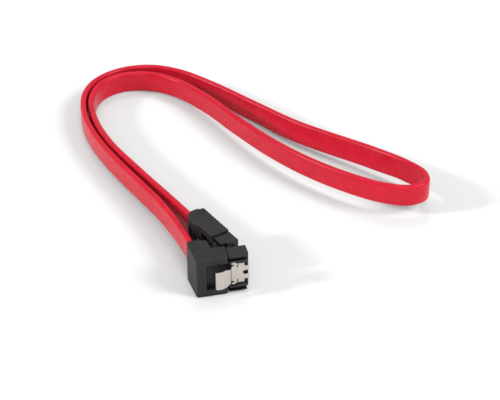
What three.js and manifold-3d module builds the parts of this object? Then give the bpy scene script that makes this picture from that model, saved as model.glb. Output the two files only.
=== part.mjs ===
// SATA data cable: a flat red lead with an angled latching connector on one end and a straight
// latching connector on the other, lying on its edge in a doubled loop. Millimetres, +Z up.
// The origin is the middle of the side that the angled connector rests on, +X is the way its
// nose plugs in and +Y is the way the cable leaves it.
import * as THREE from 'three';
import { mergeVertices } from 'three/addons/utils/BufferGeometryUtils.js';
import Module from 'manifold-3d';

const wasm = await Module();
wasm.setup();

// Clearances
const seatGap = 0.3;
const contactGap = 0.2;

// Flat cable
const cableWidth = 8.4;
const cableThickness = 2.3;
const cableEdgeRadius = 0.75;
const cableStepsPerSpan = 2;

// Overmoulds: width is across the contacts and stands upright, depth is from latch face to back
const bodyWidth = 14.8;
const bodyDepth = 6.5;
const bodyEdge = 0.25;
const tightCorner = bodyEdge + 0.15;
const easedCorner = bodyEdge + 0.5;
const roundCorner = bodyEdge + 1;
const fullCorner = bodyEdge + 2;
const angledBodyLength = 10.7;
const straightBodyLength = 15.7;
const neckWidth = 7.1;
const neckReach = 12.3;
const neckFlare = 1.2;
const neckSlant = 1.1;
const exitInset = 2.45;
const collarLength = 1.1;
const collarDepth = 3.8;
const collarInset = 0.35;

// Recess in the latch face that the press tab sinks into
const recessLength = 7.4;
const recessWidth = 9.7;
const recessDepth = 2;

// Grip ridges on both narrow sides of the straight overmould
const gripGrooves = 7;
const gripPitch = 1.35;
const gripGrooveRadius = 0.48;
const gripGrooveDepth = 0.38;
const gripSetback = 2;
const gripSwell = 0.7;
const gripSwellRun = 1.6;

// Nose of the contact housing, with the keyed slot in its end
const noseWidth = 13.4;
const noseFront = 0.2;
const noseCorner = 0.2;
const angledNoseLength = 7;
const straightNoseLength = 5.6;
const channelWidth = 8.2;
const channelDepth = 2;
const railSetback = 0.8;
const railTail = 1.2;
const railTailDepth = 0.5;
const railGrooveWidth = 1.2;
const railGrooveDepth = 1.2;
const railLip = 0.2;
const slotWidth = 10.6;
const slotThickness = 1.35;
const slotFloor = 0.8;
const slotBackWall = 1.6;
const keyWidth = 1.4;
const keyDepth = 0.7;
const tailLength = 4.2;
const tailWidth = 9.2;
const tailThickness = 1.4;
const tailStep = 0.15;

// Contacts
const contactCount = 7;
const contactPitch = 1.27;
const contactWidth = 0.5;
const contactThickness = 0.25;
const contactBump = 0.55;
const contactBumpLength = 0.7;
const contactBumpRise = 2.1;
const contactSetback = 1.1;
const contactLead = 0.6;
const contactTail = 0.4;

// Conductors between the contacts and the end of the cable
const signalDiameter = 0.9;
const drainDiameter = 0.45;
const conductorPitch = 1.1;
const conductorBend = 2;
const ductWidth = 9;
const ductThickness = 1.6;
const ductWall = 0.4;

// Stamped spring latch
const latchThickness = 0.3;
const plateHeight = 0.65;
const plateWidth = 7.55;
const stampedCorner = 0.2;
const bendRadius = 0.5;
const prongSpan = 5.15;
const prongReach = 1.6;
const footInset = 0.2;
const footDepth = 1.05;
const notchRadius = 0.78;
const notchReach = 2.15;
const earSpan = 8.7;
const earLength = 1.4;
const earReach = 4.6;
const earSlope = 0.3;
const earRoom = 0.35;
const hookWidth = 0.8;
const hookDepth = 0.95;
const hookGap = 0.45;
const creaseReach = 6.6;
const creaseRise = 1.7;
const creaseWidth = 5.5;
const tabRise = 1.4;
const tabLength = 3;
const tabWidth = 6.95;
const tabCorner = 0.45;
const lipLength = 2.1;
const lipRise = 0.1;
const lipTaper = 0.6;
const curlRadius = 0.7;
const slitWidth = 0.25;
const slitLength = 1;
const slitReach = 3.85;
const slitInset = 0.4;
const detentHeight = 0.35;
const detentLength = 0.85;

// Where the straight connector lies beside the angled one
const straightTip = new THREE.Vector3(4.75, 4.4, 0);
const straightTurn = THREE.MathUtils.degToRad(-69.5);

// Route of the cable on the floor: x, y and how far its lower edge is off the floor
const route = [
  [-4.5, 16.7, 3.1], [-6.5, 28.7, 2.8], [-9.4, 41.2, 2.5], [-13.3, 53.8, 2], [-17.4, 66.8, 1.5],
  [-21, 79.4, 1], [-23.9, 92.3, 0.5], [-25.4, 104.8, 0.2], [-25.1, 115.8, 0], [-22.9, 125.6, 0],
  [-18.1, 133.6, 0], [-10.7, 139, 0], [-2.2, 141.2, 0], [7.4, 139.7, 0], [16.9, 133.4, 0],
  [27.4, 120.6, 0], [39.9, 101.8, 0.1], [52.7, 82.6, 0.5], [74.4, 57, 1.5], [82, 45, 2.5],
  [85.3, 35, 3.5], [83.3, 28.1, 4.2], [76.9, 26.2, 4.3], [68.5, 30.1, 4.2], [58.1, 39.9, 3.9],
  [46.7, 54.9, 3.4], [36.9, 72.6, 2.8], [29.2, 91.3, 2], [21.8, 110.7, 1.2], [13.2, 126.4, 0.5],
  [3.9, 134.5, 0.1], [-6.7, 136.2, 0], [-15.6, 131.5, 0], [-21.1, 121.2, 0], [-22.3, 105.8, 0.3],
  [-19.7, 86.5, 1], [-12.7, 64.2, 1.6], [-5.3, 43, 2.2],
];

// How far a cutter runs past the face that it opens
const through = 1;

// Derived places
const middle = bodyWidth / 2;
const angledShoulder = -angledNoseLength;
const angledEnd = angledShoulder - angledBodyLength;
const neckOuter = angledEnd - neckFlare;
const exitLine = neckOuter + exitInset;
const exitReach = neckReach - neckSlant * exitInset / neckWidth;
const straightShoulder = -straightNoseLength;
const straightEnd = straightShoulder - straightBodyLength;
const straightExitEnd = straightEnd - collarLength;
const ductStart = straightShoulder - recessLength - seatGap;
const channelFloor = noseFront + channelDepth;
const railGrooveFloor = noseFront + railGrooveDepth;
const earEnd = -earReach - earLength;
const earWindowEnd = earEnd - earRoom;
const slotBack = bodyDepth - slotBackWall;
const slotFront = slotBack - slotThickness;
const contactPlane = slotBack + contactGap + contactThickness / 2;
const grooveBack = contactPlane + contactThickness / 2 + contactGap;
const tailBack = slotBack - tailStep;
const tailFront = tailBack - tailThickness;
const platePlane = noseFront + plateHeight;
const tabPlane = platePlane - creaseRise;
const cableFloor = 0.05;

// Materials
const finish = (color, roughness, metalness = 0) =>
  new THREE.MeshStandardMaterial({ color, roughness, metalness });
const jacketRed = finish(0xd8263c, 0.45);
const mouldedBlack = finish(0x1b1b1d, 0.6);
const housingBlack = finish(0x151517, 0.5);
const springSteel = finish(0xcfcac2, 0.3, 1);
const goldPlate = finish(0xd9b25a, 0.3, 1);
const coreInsulation = finish(0xe8e8e4, 0.5);
const tinnedWire = finish(0xb9bcc0, 0.35, 1);

// Frames that lay a drawn outline in the XY, XZ or YZ plane
const upright = new THREE.Matrix4().makeBasis(
  new THREE.Vector3(1, 0, 0), new THREE.Vector3(0, 0, 1), new THREE.Vector3(0, -1, 0));
const acrossNose = new THREE.Matrix4().makeBasis(
  new THREE.Vector3(0, 1, 0), new THREE.Vector3(0, 0, 1), new THREE.Vector3(1, 0, 0));

// A closed outline through corners [x, y, radius], each rounded off by its radius
function outline(corners) {
  const shape = new THREE.Shape();
  corners.forEach(([x, y, radius = 0], i) => {
    const corner = new THREE.Vector2(x, y);
    const before = new THREE.Vector2(...corners.at(i - 1));
    const after = new THREE.Vector2(...corners[(i + 1) % corners.length]);
    const start = corner.clone().add(before.sub(corner).setLength(radius));
    const end = corner.clone().add(after.sub(corner).setLength(radius));
    if (i === 0) shape.moveTo(start.x, start.y);
    else shape.lineTo(start.x, start.y);
    if (radius > 0) shape.quadraticCurveTo(x, y, end.x, end.y);
  });
  shape.closePath();
  return shape;
}

// A closed geometry turned into a solid for cutting and joining
function solid(geometry) {
  geometry.deleteAttribute('normal');
  geometry.deleteAttribute('uv');
  const merged = mergeVertices(geometry, 1e-5);
  return new wasm.Manifold(new wasm.Mesh({
    numProp: 3,
    vertProperties: new Float32Array(merged.attributes.position.array),
    triVerts: new Uint32Array(merged.index.array),
  }));
}

// Extrusions of an outline along Z, along Y and along X between two levels
function alongZ(shape, low, high, edge = 0) {
  const geometry = new THREE.ExtrudeGeometry(shape, {
    depth: high - low - 2 * edge,
    curveSegments: 4,
    bevelEnabled: edge > 0,
    bevelThickness: edge,
    bevelSize: edge,
    bevelOffset: -edge,
    bevelSegments: 2,
  });
  return solid(geometry.translate(0, 0, low + edge));
}

function alongY(shape, low, high) {
  const depth = high - low;
  const geometry = new THREE.ExtrudeGeometry(shape, { depth, curveSegments: 5, bevelEnabled: false });
  return solid(geometry.applyMatrix4(upright).translate(0, high, 0));
}

function alongX(shape, low, high) {
  const depth = high - low;
  const geometry = new THREE.ExtrudeGeometry(shape, { depth, curveSegments: 3, bevelEnabled: false });
  return solid(geometry.applyMatrix4(acrossNose).translate(low, 0, 0));
}

function block([x0, x1], [y0, y1], [z0, z1]) {
  const geometry = new THREE.BoxGeometry(x1 - x0, y1 - y0, z1 - z0);
  return solid(geometry.translate((x0 + x1) / 2, (y0 + y1) / 2, (z0 + z1) / 2));
}

// A span of the given width about the middle of the connector, along Z
const centred = (width) => [middle - width / 2, middle + width / 2];

function part(name, shape, material) {
  const { vertProperties, triVerts } = shape.getMesh();
  const geometry = new THREE.BufferGeometry();
  geometry.setAttribute('position', new THREE.BufferAttribute(vertProperties, 3));
  geometry.setIndex(new THREE.BufferAttribute(triVerts, 1));
  geometry.computeVertexNormals();
  const mesh = new THREE.Mesh(geometry, material);
  mesh.name = name;
  return mesh;
}

// Everything below is drawn in the frame of one connector: x is 0 at the tip of the nose and
// grows the way it plugs in, y is 0 at the latch face and z is 0 at the side it rests on.

// Room for the tail of the housing and the conductors, open at the shoulder
function housingPocket(shoulder, end) {
  return block(
    [end, shoulder + through],
    [tailFront - contactGap, bodyDepth - ductWall],
    centred(ductWidth + 2 * seatGap));
}

function latchRecess(shoulder) {
  return block([shoulder - recessLength, shoulder + through], [-through, recessDepth], centred(recessWidth));
}

// Block that turns the cable through a right angle, flared towards the neck where the cable comes out
function angledOvermould() {
  const neckInner = neckOuter + neckWidth;
  const plan = outline([
    [angledEnd, 0, easedCorner], [angledShoulder, 0, roundCorner], [angledShoulder, bodyDepth, tightCorner],
    [neckInner, bodyDepth, easedCorner], [neckInner, neckReach - neckSlant, roundCorner],
    [neckOuter, neckReach, fullCorner],
  ]);
  const ductLeft = exitLine - ductThickness / 2;
  const turnRoom = block(
    [ductLeft, neckInner - ductWall],
    [tailFront, contactPlane + conductorBend],
    centred(ductWidth));
  const duct = block(
    [ductLeft, ductLeft + ductThickness],
    [tailFront, neckReach + through],
    centred(ductWidth));
  return alongZ(plan, 0, bodyWidth, bodyEdge)
    .subtract(latchRecess(angledShoulder))
    .subtract(housingPocket(angledShoulder, exitLine))
    .subtract(turnRoom)
    .subtract(duct);
}

// Grip with cross grooves on its two narrow sides and a collar round the cable
function straightOvermould() {
  const swellFront = straightShoulder - recessLength;
  const plan = outline([
    [straightEnd, -gripSwell, fullCorner], [swellFront - gripSwellRun, -gripSwell, easedCorner],
    [swellFront, 0, easedCorner], [straightShoulder, 0, easedCorner],
    [straightShoulder, bodyDepth, tightCorner], [straightEnd, bodyDepth, easedCorner],
  ]);
  const collarFront = (bodyDepth - collarDepth) / 2;
  const collarBack = collarFront + collarDepth;
  const collarPlan = outline([
    [straightExitEnd, collarFront, easedCorner], [straightEnd + roundCorner, collarFront, tightCorner],
    [straightEnd + roundCorner, collarBack, tightCorner], [straightExitEnd, collarBack, easedCorner],
  ]);
  const duct = block(
    [straightExitEnd - through, ductStart],
    [(bodyDepth - ductThickness) / 2, (bodyDepth + ductThickness) / 2],
    centred(ductWidth));
  let body = alongZ(plan, 0, bodyWidth, bodyEdge)
    .add(alongZ(collarPlan, collarInset, bodyWidth - collarInset, bodyEdge));
  for (let i = 0; i < gripGrooves; i += 1) {
    const x = straightShoulder - gripSetback - i * gripPitch;
    body = body.subtract(gripGroove(x, gripGrooveDepth - gripGrooveRadius));
    body = body.subtract(gripGroove(x, bodyWidth - gripGrooveDepth + gripGrooveRadius));
  }
  return body
    .subtract(latchRecess(straightShoulder))
    .subtract(housingPocket(straightShoulder, ductStart - conductorBend))
    .subtract(duct);
}

function gripGroove(x, z) {
  const bar = new THREE.CylinderGeometry(gripGrooveRadius, gripGrooveRadius, bodyDepth + 2 * through, 10);
  return solid(bar.translate(x, bodyDepth / 2, z));
}

// Nose with side rails for the latch, the keyed slot, seven contact cavities and a solder tail
function contactHousing(shoulder) {
  const root = shoulder + seatGap;
  const [low, high] = centred(noseWidth);
  const section = outline([
    [noseFront, low, noseCorner], [bodyDepth, low, noseCorner],
    [bodyDepth, high, noseCorner], [noseFront, high, noseCorner],
  ]);
  const tail = block([shoulder - tailLength, root + through], [tailFront, tailBack], centred(tailWidth));
  const full = [root - through, through];
  let body = alongX(section, root, 0)
    .subtract(block(full, [-through, channelFloor], centred(channelWidth)))
    .subtract(block([-railSetback, through], [-through, channelFloor], [0, bodyWidth]))
    .subtract(block(full, [-through, railGrooveFloor], outside(railLip, railGrooveWidth, 1)))
    .subtract(block(full, [-through, railGrooveFloor], outside(railLip, railGrooveWidth, -1)))
    .add(tail)
    .subtract(keyedSlot(shoulder + slotFloor));
  if (root < earWindowEnd) body = body.add(railTails(shoulder, root));
  body = body.subtract(earWindows());
  for (let i = 0; i < contactCount; i += 1) body = body.subtract(contactCavity(i, shoulder));
  return body;
}

// Span of the given width that starts a distance inside the top or the bottom of the nose
function outside(inset, width, side) {
  const near = middle + side * (noseWidth / 2 - inset);
  const far = near - side * width;
  return [Math.min(near, far), Math.max(near, far)];
}

// Short ends of the rails that reach back over the floor of the recess, where no ear passes
function railTails(shoulder, root) {
  const width = (recessWidth - channelWidth) / 2 - contactGap;
  const depth = [railGrooveFloor - railTailDepth / 2, recessDepth - contactGap];
  const span = [shoulder - railTail, root + slotFloor];
  const inset = (noseWidth - channelWidth) / 2 - width;
  return block(span, depth, outside(inset, width, 1)).add(block(span, depth, outside(inset, width, -1)));
}

// Openings through both rails that the ears of the latch stand in
function earWindows() {
  return block([earWindowEnd, -earReach + earRoom], [-through, channelFloor], centred(earSpan + 2 * earRoom));
}

function keyedSlot(floor) {
  const [low, high] = centred(slotWidth);
  return block([floor, through], [slotFront, slotBack], [low, high])
    .add(block([floor, through], [slotFront - keyDepth, slotBack], [low, low + keyWidth]));
}

const contactLevel = (i) => middle + (i - (contactCount - 1) / 2) * contactPitch;

function contactCavity(i, shoulder) {
  const z = contactLevel(i);
  const half = contactWidth / 2 + contactGap;
  return block([shoulder, contactGap - contactSetback], [tailBack, grooveBack], [z - half, z + half]);
}

// A drawn line made into an outline of even thickness
function ribbon(points, thickness) {
  const sides = [[], []];
  points.forEach((point, i) => {
    const before = points[Math.max(i - 1, 0)];
    const after = points[Math.min(i + 1, points.length - 1)];
    const incoming = point.clone().sub(before).normalize();
    const outgoing = after.clone().sub(point).normalize();
    const along = incoming.add(outgoing).normalize();
    const turn = i > 0 && i < points.length - 1 ? along.dot(outgoing) : 1;
    const normal = new THREE.Vector2(-along.y, along.x).multiplyScalar(thickness / 2 / turn);
    sides[0].push(point.clone().add(normal));
    sides[1].unshift(point.clone().sub(normal));
  });
  return new THREE.Shape([...sides[0], ...sides[1]]);
}

// Contact beam: straight through the housing, with a bump that bears in the slot
function contact(i, shoulder) {
  const crest = contactPlane - contactBump;
  const bumpFront = -contactSetback - contactLead;
  const bumpBack = bumpFront - contactBumpLength;
  const beam = [
    [shoulder - tailLength - contactTail, contactPlane], [bumpBack - contactBumpRise, contactPlane],
    [bumpBack, crest], [bumpFront, crest], [-contactSetback, contactPlane],
  ].map(([x, y]) => new THREE.Vector2(x, y));
  const z = contactLevel(i);
  return alongZ(ribbon(beam, contactThickness), z - contactWidth / 2, z + contactWidth / 2);
}

// Latch profile seen along Z: foot at the nose tip, plate, crease, press tab and rolled end
function latchProfile() {
  const line = new THREE.Path();
  const creaseEnd = -creaseReach;
  const foldEnd = creaseEnd - tabLength;
  const foldTop = tabPlane - tabRise;
  const lipEnd = foldEnd - lipLength;
  const lipTop = foldTop - lipRise;
  line.moveTo(-footInset, platePlane + footDepth);
  line.lineTo(-footInset, platePlane + bendRadius);
  line.quadraticCurveTo(-footInset, platePlane, -footInset - bendRadius, platePlane);
  line.lineTo(creaseEnd + 2 * bendRadius, platePlane);
  const halfway = (platePlane + tabPlane) / 2;
  line.quadraticCurveTo(creaseEnd + bendRadius, platePlane, creaseEnd + bendRadius / 2, halfway);
  line.quadraticCurveTo(creaseEnd, tabPlane, creaseEnd - bendRadius, tabPlane - lipRise);
  line.lineTo(foldEnd, foldTop);
  line.lineTo(lipEnd + curlRadius, lipTop);
  line.quadraticCurveTo(lipEnd, lipTop, lipEnd, lipTop + curlRadius);
  return ribbon(line.getPoints(4), latchThickness);
}

// Latch plan seen along Y: prongs, plate, hooked ears and the tab, the same about its middle
function latchPlan() {
  const hookRoot = earEnd + hookDepth;
  const hookEdge = earSpan / 2 - hookWidth;
  const tabStart = -creaseReach - (tabWidth - creaseWidth);
  const tabEnd = -creaseReach - tabLength - lipLength;
  const half = [
    [through, prongSpan / 2], [-prongReach, prongSpan / 2, stampedCorner],
    [-prongReach, plateWidth / 2, stampedCorner], [-earReach + earSlope, plateWidth / 2],
    [-earReach, earSpan / 2, stampedCorner], [earEnd, earSpan / 2], [earEnd, hookEdge],
    [hookRoot, hookEdge], [hookRoot, hookEdge - hookGap], [-creaseReach, creaseWidth / 2],
    [tabStart, tabWidth / 2, tabCorner], [tabEnd + lipTaper, tabWidth / 2, tabCorner],
    [tabEnd - through, tabWidth / 2 - lipTaper],
  ];
  const mirrored = half.map(([x, z, radius]) => [x, middle - z, radius]).reverse();
  return outline([...half.map(([x, z, radius]) => [x, middle + z, radius]), ...mirrored]);
}

// Span along Z of the slit on one side, and of the raised detent beside it that snaps into the socket
function slitSpan(side) {
  const z = middle + side * (plateWidth / 2 - slitLength / 2 - slitInset);
  return [z - slitLength / 2, z + slitLength / 2];
}

function detent(side) {
  const wedge = outline([
    [-slitReach, platePlane], [-slitReach, platePlane - latchThickness / 2 - detentHeight, stampedCorner],
    [-slitReach + detentLength, platePlane],
  ]);
  return alongZ(wedge, ...slitSpan(side));
}

function springLatch() {
  let latch = alongZ(latchProfile(), 0, bodyWidth).intersect(alongY(latchPlan(), -bodyDepth, bodyDepth));
  const notch = new THREE.CylinderGeometry(notchRadius, notchRadius, bodyDepth, 16);
  latch = latch
    .subtract(solid(notch.translate(-notchReach + notchRadius, platePlane, middle)))
    .subtract(block([-notchReach + notchRadius, through], [-through, bodyDepth], centred(2 * notchRadius)));
  for (const side of [-1, 1]) {
    const slit = block([-slitReach - slitWidth, -slitReach], [-through, bodyDepth], slitSpan(side));
    latch = latch.subtract(slit).add(detent(side));
  }
  return latch;
}

// Round conductor through the overmould along a bent line
function conductor(points, diameter) {
  const section = new THREE.Shape();
  section.absarc(0, 0, diameter / 2, 0, Math.PI * 2);
  const path = new THREE.CatmullRomCurve3(points, false, 'centripetal');
  const geometry = new THREE.ExtrudeGeometry(section, { steps: 12, curveSegments: 4, extrudePath: path });
  return solid(geometry);
}

const exitLevel = (i) => middle + (i - (contactCount - 1) / 2) * conductorPitch;

// Through the angled overmould: out from the contact, then round the bend and up the neck
function angledConductorLine(i) {
  const start = angledShoulder - tailLength - contactTail - contactGap;
  const bend = exitLine + conductorBend;
  const eighth = conductorBend * Math.SQRT1_2;
  const from = contactLevel(i);
  const to = exitLevel(i);
  return [
    new THREE.Vector3(start, contactPlane, from),
    new THREE.Vector3(bend, contactPlane, from),
    new THREE.Vector3(bend - eighth, contactPlane + conductorBend - eighth, (from + to) / 2),
    new THREE.Vector3(exitLine, contactPlane + conductorBend, to),
    new THREE.Vector3(exitLine, exitReach, to),
  ];
}

// Through the straight overmould: a shallow double bend down to the middle of the cable
function straightConductorLine(i) {
  const start = straightShoulder - tailLength - contactTail - contactGap;
  const from = contactLevel(i);
  const to = exitLevel(i);
  const centre = bodyDepth / 2;
  return [
    new THREE.Vector3(start, contactPlane, from),
    new THREE.Vector3(start - signalDiameter, contactPlane, from),
    new THREE.Vector3(ductStart, (contactPlane + centre) / 2, (from + to) / 2),
    new THREE.Vector3(ductStart - conductorBend, centre, to),
    new THREE.Vector3(straightExitEnd, centre, to),
  ];
}

// One connector with everything in it
function connector(prefix, shoulder, overmould, conductorLine) {
  const group = new THREE.Group();
  group.add(part(`${prefix}_overmould`, overmould, mouldedBlack));
  group.add(part(`${prefix}_contact_housing`, contactHousing(shoulder), housingBlack));
  group.add(part(`${prefix}_spring_latch`, springLatch(), springSteel));
  for (let i = 0; i < contactCount; i += 1) {
    group.add(part(`${prefix}_contact_${i + 1}`, contact(i, shoulder), goldPlate));
    const drain = i % 3 === 0;
    const name = `${prefix}_${drain ? 'drain' : 'signal'}_wire_${i + 1}`;
    const diameter = drain ? drainDiameter : signalDiameter;
    group.add(part(name, conductor(conductorLine(i), diameter), drain ? tinnedWire : coreInsulation));
  }
  return group;
}

// Flat cable on its edge, from one connector round both loops to the other
function flatCable(start, end) {
  const rest = cableWidth / 2 + cableFloor;
  const points = [start, ...route.map(([x, y, lift]) => new THREE.Vector3(x, y, rest + lift)), end];
  const path = new THREE.CatmullRomCurve3(points, false, 'centripetal');
  // Steps follow the route's own points, which lie closer together in the turns
  path.getUtoTmapping = (u) => u;
  const x = cableWidth / 2;
  const y = cableThickness / 2;
  const section = outline([
    [-x, -y, cableEdgeRadius], [x, -y, cableEdgeRadius], [x, y, cableEdgeRadius], [-x, y, cableEdgeRadius],
  ]);
  const steps = cableStepsPerSpan * (points.length - 1);
  const geometry = new THREE.ExtrudeGeometry(section, { steps, curveSegments: 2, extrudePath: path });
  return part('flat_cable', solid(geometry), jacketRed);
}

const cable = new THREE.Group();
const angled = connector('angled', angledShoulder, angledOvermould(), angledConductorLine);
angled.position.set(angledBodyLength / 2 + angledNoseLength, -bodyDepth / 2, 0);
const straight = connector('straight', straightShoulder, straightOvermould(), straightConductorLine);
straight.position.copy(straightTip);
straight.rotation.z = straightTurn;
cable.add(angled, straight);
cable.updateMatrixWorld(true);

const angledExit = angled.localToWorld(new THREE.Vector3(exitLine, exitReach + seatGap, middle));
const straightExit = straight.localToWorld(
  new THREE.Vector3(straightExitEnd - seatGap, bodyDepth / 2, middle));
cable.add(flatCable(angledExit, straightExit));

export default cable;
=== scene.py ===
"""Looks for the flat data cable: a red ribbon on its edge, black plugs and steel latches."""
import math

import bmesh
import bpy
from mathutils import Matrix, Vector


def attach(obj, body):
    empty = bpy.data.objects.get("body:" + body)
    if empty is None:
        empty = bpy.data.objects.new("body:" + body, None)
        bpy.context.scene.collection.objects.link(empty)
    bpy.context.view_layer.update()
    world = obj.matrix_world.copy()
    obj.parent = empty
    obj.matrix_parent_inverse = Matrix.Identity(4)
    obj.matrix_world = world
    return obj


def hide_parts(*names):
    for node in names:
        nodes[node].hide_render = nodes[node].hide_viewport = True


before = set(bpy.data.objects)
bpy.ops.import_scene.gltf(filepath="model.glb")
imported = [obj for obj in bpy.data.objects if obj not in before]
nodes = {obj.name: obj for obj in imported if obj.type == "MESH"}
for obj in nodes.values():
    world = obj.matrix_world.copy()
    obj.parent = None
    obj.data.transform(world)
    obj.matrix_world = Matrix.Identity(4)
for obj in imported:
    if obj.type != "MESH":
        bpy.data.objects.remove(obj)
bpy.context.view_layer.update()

MM = 0.001
scene = bpy.context.scene

# Camera at the photograph's angle, turned and tilted in degrees, with its lens and film in mm
CAMERA_EYE = Vector((-79.3, -385.3, 301.0)) * MM
CAMERA_AZIMUTH = -13.5
CAMERA_ELEVATION = 34
CAMERA_LENS = 108
CAMERA_FILM = 36
CAMERA_NEAR = 10 * MM

# Cable, as in the CAD but for its rounder edge
CABLE_WIDTH = 8.4 * MM
CABLE_THICKNESS = 2.3 * MM
CABLE_EDGE = 1.05 * MM
CABLE_CLEARANCE = 0.05 * MM
CABLE_REST = CABLE_WIDTH / 2 + CABLE_CLEARANCE
CABLE_SINK = 0.6 * MM
NECK_EXIT = Vector((-4.1, 8.97, 7.4)) * MM
COLLAR_EXIT = Vector((-0.16, 26.8, 7.4)) * MM
# The cable's turns in mm: x, y and how far its lower edge is lifted
ROUTE = [
    (-4.5, 16.7, 3.1), (-6.5, 28.7, 2.8), (-9.4, 41.2, 2.5), (-13.3, 53.8, 2), (-17.4, 66.8, 1.5),
    (-21, 79.4, 1), (-23.9, 92.3, 0.5), (-25.4, 104.8, 0.2), (-25.1, 115.8, 0), (-22.9, 125.6, 0),
    (-18.1, 133.6, 0), (-10.7, 139, 0), (-2.2, 141.2, 0), (7.4, 139.7, 0), (16.9, 133.4, 0),
    (27.4, 120.6, 0), (39.9, 101.8, 0.1), (52.7, 82.6, 0.5), (74.4, 57, 1.5), (82, 45, 2.5),
    (85.3, 35, 3.5), (83.3, 28.1, 4.2), (76.9, 26.2, 4.3), (68.5, 30.1, 4.2), (58.1, 39.9, 3.9),
    (46.7, 54.9, 3.4), (36.9, 72.6, 2.8), (29.2, 91.3, 2), (21.8, 110.7, 1.2), (13.2, 126.4, 0.5),
    (3.9, 134.5, 0.1), (-6.7, 136.2, 0), (-15.6, 131.5, 0), (-21.1, 121.2, 0), (-22.3, 105.8, 0.3),
    (-19.7, 86.5, 1), (-12.7, 64.2, 1.6), (-5.3, 43, 2.2),
]
# How far the ribbon leans back at some of these turns, in degrees
LEAN = {16: 6, 17: 17, 18: 19, 19: 9}
STEPS_PER_SPAN = 16
CORNER_STEPS = 6

# Edges: rounding of the sharp edges of each kind of piece, and the angles that count as sharp
SHELL_EASE = 0.12 * MM
NOSE_EASE = 0.08 * MM
LATCH_EASE = 0.05 * MM
EASED_FROM = math.radians(40)
SHARP_FROM = math.radians(35)
FLAT_WITHIN = math.radians(1)
WELD_WITHIN = 0.002 * MM

# Materials: reach of the painted shade in hollows and of the lighter rubbed edges (wear and a
# painted edge highlight), and the red that others catch
PAINTED_SHADE_REACH = 1.6 * MM
WEAR_AND_HIGHLIGHT_REACH = 0.25 * MM
# Near black that is painted into hollows as shade
PAINTED_SHADE_BLACK = (0.003, 0.003, 0.003)
BOUNCED_RED = (0.24, 0.09, 0.095)

# Light: strength of the surroundings, and each softbox's direction, strength and width in degrees
WORLD_STRENGTH = 0.46
SOFTBOXES = {
    "left_softbox": ((-0.90, 0.04, 0.43), 1.4, 8),
    "right_softbox": ((0.66, -0.38, 0.65), 1.35, 22),
    "back_softbox": ((0.10, 0.50, 0.86), 0.35, 16),
    "front_softbox": ((-0.10, -0.75, 0.65), 0.8, 30),
}
FLOOR_REACH = 3


def make_camera():
    """The photograph's view."""
    data = bpy.data.cameras.new("camera")
    data.lens = CAMERA_LENS
    data.sensor_width = CAMERA_FILM
    data.clip_start = CAMERA_NEAR
    camera = bpy.data.objects.new("camera", data)
    camera.location = CAMERA_EYE
    tilt = math.radians(90 - CAMERA_ELEVATION)
    camera.rotation_euler = (tilt, 0, math.radians(CAMERA_AZIMUTH))
    scene.collection.objects.link(camera)
    scene.camera = camera


def catmull_rom(points, steps):
    """Points along a centripetal curve through the given points."""
    ends = [2 * points[0] - points[1], *points, 2 * points[-1] - points[-2]]
    line = []
    for p0, p1, p2, p3 in zip(ends, ends[1:], ends[2:], ends[3:]):
        t1 = (p1 - p0).length ** 0.5
        t2 = t1 + (p2 - p1).length ** 0.5
        t3 = t2 + (p3 - p2).length ** 0.5
        for step in range(steps):
            t = t1 + (t2 - t1) * step / steps
            a1 = p0.lerp(p1, t / t1)
            a2 = p1.lerp(p2, (t - t1) / (t2 - t1))
            a3 = p2.lerp(p3, (t - t2) / (t3 - t2))
            b1 = a1.lerp(a2, t / t2)
            b2 = a2.lerp(a3, (t - t1) / (t3 - t1))
            line.append(b1.lerp(b2, (t - t1) / (t2 - t1)))
    return [*line, points[-1]]


def ribbon_section():
    """Corner-rounded outline across the cable: offsets sideways and upwards."""
    points = []
    for quarter, (side, level) in enumerate(((1, 1), (-1, 1), (-1, -1), (1, -1))):
        centre = Vector((
            side * (CABLE_THICKNESS / 2 - CABLE_EDGE),
            level * (CABLE_WIDTH / 2 - CABLE_EDGE),
        ))
        for step in range(CORNER_STEPS + 1):
            angle = math.radians(90 * (quarter + step / CORNER_STEPS))
            points.append(centre + CABLE_EDGE * Vector((math.cos(angle), math.sin(angle))))
    return points


def lean_at(step):
    """How far the ribbon leans back at a step of its line, easing from turn to turn."""
    turn, part = divmod(step / STEPS_PER_SPAN - 1, 1)
    before = LEAN.get(int(turn), 0)
    after = LEAN.get(int(turn) + 1, 0)
    return math.radians(before + (after - before) * part * part * (3 - 2 * part))


def cable_line():
    """Points along the cable's middle, from inside the neck to inside the collar."""
    turns = [Vector((x * MM, y * MM, CABLE_REST + lift * MM)) for x, y, lift in ROUTE]
    inward = (NECK_EXIT - turns[0]).normalized() * CABLE_SINK
    onward = (COLLAR_EXIT - turns[-1]).normalized() * CABLE_SINK
    return catmull_rom([NECK_EXIT + inward, *turns, COLLAR_EXIT + onward], STEPS_PER_SPAN)


def make_ribbon():
    """The cable's jacket, swept upright or leaning along its line, and the line of its middle."""
    line = cable_line()
    section = ribbon_section()
    form = bmesh.new()
    centres = []
    rings = []
    for i, point in enumerate(line):
        along = (line[min(i + 1, len(line) - 1)] - line[max(i - 1, 0)]).normalized()
        side = Vector((along.y, -along.x, 0)).normalized()
        level = side.cross(along)
        turn = Matrix.Rotation(-lean_at(i), 3, along)
        leaning = turn @ level
        centre = point + (level - leaning) * CABLE_WIDTH / 2
        centres.append(centre)
        across = turn @ side
        rings.append([form.verts.new(centre + across * s + leaning * l) for s, l in section])
    count = len(section)
    for ring, after in zip(rings, rings[1:]):
        for k in range(count):
            form.faces.new((ring[k], ring[(k + 1) % count], after[(k + 1) % count], after[k]))
    form.faces.new(reversed(rings[0]))
    form.faces.new(rings[-1])
    bmesh.ops.recalc_face_normals(form, faces=form.faces)
    ribbon = new_piece("cable_jacket_ribbon", form, jacket_material())
    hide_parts("flat_cable")
    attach(ribbon, "cable_assembly")
    return ribbon, centres


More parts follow.
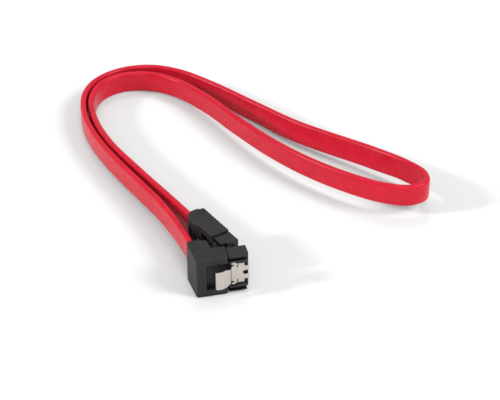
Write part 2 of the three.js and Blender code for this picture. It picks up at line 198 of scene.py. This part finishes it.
def new_piece(name, form, material):
    """A mesh object made from a bmesh, shaded smooth up to an angle."""
    mesh = bpy.data.meshes.new(name)
    form.to_mesh(mesh)
    form.free()
    mesh.shade_smooth()
    mesh.set_sharp_from_angle(angle=SHARP_FROM)
    mesh.materials.append(material)
    piece = bpy.data.objects.new(name, mesh)
    scene.collection.objects.link(piece)
    return piece


def eased_copy(node, name, material, width, segments):
    """Stands for a CAD node with the same form, its sharp edges rounded off in the mesh."""
    form = bmesh.new()
    form.from_mesh(nodes[node].data)
    bmesh.ops.remove_doubles(form, verts=form.verts, dist=WELD_WITHIN)
    bmesh.ops.dissolve_limit(form, angle_limit=FLAT_WITHIN, verts=form.verts, edges=form.edges)
    piece = new_piece(name, form, material)
    bevel = piece.modifiers.new("eased_edges", "BEVEL")
    bevel.width = width
    bevel.segments = segments
    bevel.limit_method = "ANGLE"
    bevel.angle_limit = EASED_FROM
    bevel.miter_outer = "MITER_ARC"
    piece.modifiers.new("even_shading", "WEIGHTED_NORMAL").keep_sharp = True
    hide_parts(node)
    return piece


class Nodes:
    """Short calls for building a node material."""

    def __init__(self, name):
        self.material = bpy.data.materials.new(name)
        self.material.use_nodes = True
        self.tree = self.material.node_tree
        self.shader = self.tree.nodes["Principled BSDF"]
        self.place = self.add("ShaderNodeTexCoord").outputs["Object"]

    def add(self, kind, **settings):
        node = self.tree.nodes.new(kind)
        for key, value in settings.items():
            setattr(node, key, value)
        return node

    def link(self, source, target):
        self.tree.links.new(source, target)

    def noise(self, scale, detail, roughness=0.5, stretch=None):
        """Noise over the object, drawn out along an axis where its stretch is small."""
        node = self.add("ShaderNodeTexNoise")
        node.inputs["Scale"].default_value = scale
        node.inputs["Detail"].default_value = detail
        node.inputs["Roughness"].default_value = roughness
        place = self.place
        if stretch:
            mapping = self.add("ShaderNodeMapping")
            mapping.inputs["Scale"].default_value = stretch
            self.link(place, mapping.inputs["Vector"])
            place = mapping.outputs["Vector"]
        self.link(place, node.inputs["Vector"])
        return node.outputs["Fac"]

    def ramp(self, source, low, high, start=0.3, end=0.7):
        """Colours or values between two ends, as a noise runs from start to end."""
        node = self.add("ShaderNodeValToRGB")
        for stop, place, colour in zip(node.color_ramp.elements, (start, end), (low, high)):
            stop.position = place
            stop.color = (*colour, 1) if isinstance(colour, tuple) else (colour, colour, colour, 1)
        self.link(source, node.inputs["Fac"])
        return node.outputs["Color"]

    def mix(self, share, varied, plain):
        """Colour that runs from a varied one to a plain one with the share."""
        node = self.add("ShaderNodeMix", data_type="RGBA")
        share_socket, *_, varied_socket, plain_socket = node.inputs[:8]
        self.link(share, share_socket)
        self.link(varied, varied_socket)
        plain_socket.default_value = (*plain, 1)
        return node.outputs[2]

    def openness(self, reach, inside=False):
        """Low in hollows, or low along outer edges where it looks inside."""
        node = self.add("ShaderNodeAmbientOcclusion", samples=8, inside=inside)
        node.inputs["Distance"].default_value = reach
        return node.outputs["AO"]

    def bump(self, source, depth, strength, under=None):
        """Normals of a relief of the given depth, on top of the relief under it."""
        node = self.add("ShaderNodeBump")
        node.inputs["Strength"].default_value = strength
        node.inputs["Distance"].default_value = depth
        self.link(source, node.inputs["Height"])
        if under is not None:
            self.link(under, node.inputs["Normal"])
        return node.outputs["Normal"]

    def set(self, **values):
        """Sets or links the shader's sockets, and returns the material."""
        for key, value in values.items():
            socket = self.shader.inputs[key.replace("_", " ")]
            if isinstance(value, bpy.types.NodeSocket):
                self.link(value, socket)
            else:
                socket.default_value = value
        return self.material


def jacket_material():
    """Soft red PVC: faintly mottled, satin, with a fine skin, and a greyer red in its bounce."""
    build = Nodes("red_jacket")
    mottle = build.noise(220, detail=2)
    skin = build.noise(2600, detail=2)
    swell = build.noise(420, detail=1)
    colour = build.ramp(mottle, (0.595, 0.009, 0.028), (0.66, 0.0125, 0.035))
    bounce = build.add("ShaderNodeLightPath").outputs["Is Diffuse Ray"]
    rough = build.ramp(swell, 0.26, 0.34)
    normal = build.bump(swell, depth=0.02 * MM, strength=0.4)
    normal = build.bump(skin, depth=0.005 * MM, strength=0.5, under=normal)
    return build.set(
        Base_Color=build.mix(bounce, colour, BOUNCED_RED),
        Roughness=rough,
        Normal=normal,
        Specular_IOR_Level=0.2,
        Subsurface_Weight=0.08,
        Subsurface_Radius=(1.0 * MM, 0.15 * MM, 0.12 * MM),
        Subsurface_Scale=1.0,
    )


def moulded_material(name, shades, roughness, grain, gloss, wear_and_highlight):
    """Black moulded plastic: fine grain, uneven sheen, painted shade in hollows, and lighter rubbed
    edges that are partly wear, partly a painted highlight.
    """
    build = Nodes(name)
    cloud = build.noise(300, detail=4, roughness=0.6)
    texture = build.noise(grain, detail=3, roughness=0.65)
    # Painted shade: the base colour runs to near black where hollows and recesses are closed in
    painted_shade = build.ramp(build.openness(PAINTED_SHADE_REACH), 1, 0, 0.35, 0.95)
    # Lighter edges: partly rubbed wear, partly a painted highlight along the edges
    edge = build.ramp(build.openness(WEAR_AND_HIGHLIGHT_REACH, inside=True), 1, 0, 0.55, 0.9)
    colour = build.mix(edge, build.ramp(cloud, *shades), (wear_and_highlight, wear_and_highlight, wear_and_highlight))
    return build.set(
        Base_Color=build.mix(painted_shade, colour, PAINTED_SHADE_BLACK),
        Roughness=build.ramp(cloud, *roughness),
        Normal=build.bump(texture, depth=0.03 * MM, strength=0.8),
        Specular_IOR_Level=gloss,
    )


def steel_material():
    """Stamped spring steel: warm, satin, with fine rolling lines and a little speckle."""
    build = Nodes("latch_steel")
    lines = build.noise(1900, detail=3, stretch=(1, 1, 0.06))
    speckle = build.noise(3200, detail=3, roughness=0.7)
    normal = build.bump(lines, depth=0.004 * MM, strength=0.6)
    normal = build.bump(speckle, depth=0.006 * MM, strength=0.6, under=normal)
    sheet = build.ramp(speckle, (0.42, 0.385, 0.345), (0.66, 0.62, 0.565))
    return build.set(
        Base_Color=build.mix(build.ramp(lines, 0, 0.5, 0.35, 0.65), sheet, (0.66, 0.63, 0.59)),
        Metallic=1.0,
        Roughness=build.ramp(lines, 0.32, 0.44),
        Normal=normal,
    )


def metal_material(name, dark, light, roughness):
    """Clean metal with a little cloud in its colour and sheen."""
    build = Nodes(name)
    cloud = build.noise(1800, detail=3)
    return build.set(
        Base_Color=build.ramp(cloud, dark, light),
        Metallic=1.0,
        Roughness=build.ramp(cloud, roughness, roughness + 0.1),
        Normal=build.bump(cloud, depth=0.004 * MM, strength=0.5),
    )


def insulation_material():
    """Pale smooth insulation of the signal cores."""
    build = Nodes("core_insulation")
    cloud = build.noise(900, detail=2)
    return build.set(
        Base_Color=build.ramp(cloud, (0.70, 0.70, 0.68), (0.80, 0.80, 0.78)),
        Roughness=build.ramp(cloud, 0.35, 0.45),
        Normal=build.bump(cloud, depth=0.01 * MM, strength=0.4),
    )


def dress_plugs():
    """Eased pieces for the overmoulds, housings and latches, on the bodies that carry them."""
    shell_black = moulded_material(
        "overmould_black", (0.0115, 0.0225), (0.5, 0.64), grain=2200, gloss=0.34, wear_and_highlight=0.115
    )
    nose_black = moulded_material(
        "housing_black", (0.012, 0.018), (0.42, 0.54), grain=1500, gloss=0.4, wear_and_highlight=0.012
    )
    steel = steel_material()
    pieces = []
    for side in ("angled", "straight"):
        shell = eased_copy(f"{side}_overmould", f"{side}_grip_shell", shell_black, SHELL_EASE, 3)
        nose = eased_copy(f"{side}_contact_housing", f"{side}_plug_nose", nose_black, NOSE_EASE, 3)
        clip = eased_copy(f"{side}_spring_latch", f"{side}_latch_clip", steel, LATCH_EASE, 2)
        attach(shell, "cable_assembly")
        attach(nose, "cable_assembly")
        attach(clip, f"{side}_latch")
        pieces += [shell, nose, clip]
    return pieces


def dress_conductors():
    """Materials of the contacts and conductors, which keep their CAD meshes."""
    looks = {
        "contact": metal_material("contact_gold", (0.78, 0.55, 0.22), (0.88, 0.66, 0.30), 0.22),
        "drain_wire": metal_material("tinned_wire", (0.50, 0.51, 0.53), (0.62, 0.63, 0.65), 0.3),
        "signal_wire": insulation_material(),
    }
    for name, node in nodes.items():
        kind = name.partition("_")[2].rstrip("_1234567")
        if kind in looks:
            node.data.materials.clear()
            node.data.materials.append(looks[kind])


def make_floor():
    """Plain pale floor, which only takes the shadows."""
    build = Nodes("floor_paper")
    cloud = build.noise(3, detail=2)
    build.set(Base_Color=build.ramp(cloud, 0.88, 0.90), Roughness=0.9, Specular_IOR_Level=0.1)
    form = bmesh.new()
    bmesh.ops.create_grid(form, x_segments=1, y_segments=1, size=FLOOR_REACH)
    new_piece("floor", form, build.material)


def soft_light(name, towards, strength, spread):
    """A distant softbox that lights from the given direction, as wide as the given angle."""
    data = bpy.data.lights.new(name, "SUN")
    data.energy = strength
    data.angle = math.radians(spread)
    lamp = bpy.data.objects.new(name, data)
    lamp.rotation_mode = "QUATERNION"
    lamp.rotation_quaternion = Vector(towards).to_track_quat("Z", "Y")
    scene.collection.objects.link(lamp)


def make_light():
    """White surroundings and four softboxes: low left, wide right, high behind and wide in front."""
    world = bpy.data.worlds.new("studio")
    world.use_nodes = True
    background = world.node_tree.nodes["Background"]
    background.inputs["Color"].default_value = (1, 1, 1, 1)
    background.inputs["Strength"].default_value = WORLD_STRENGTH
    scene.world = world
    for name, (towards, strength, spread) in SOFTBOXES.items():
        soft_light(name, towards, strength, spread)


scene.view_settings.view_transform = "Standard"
make_camera()
ribbon, middle = make_ribbon()
dress_plugs()
dress_conductors()
make_floor()
make_light()
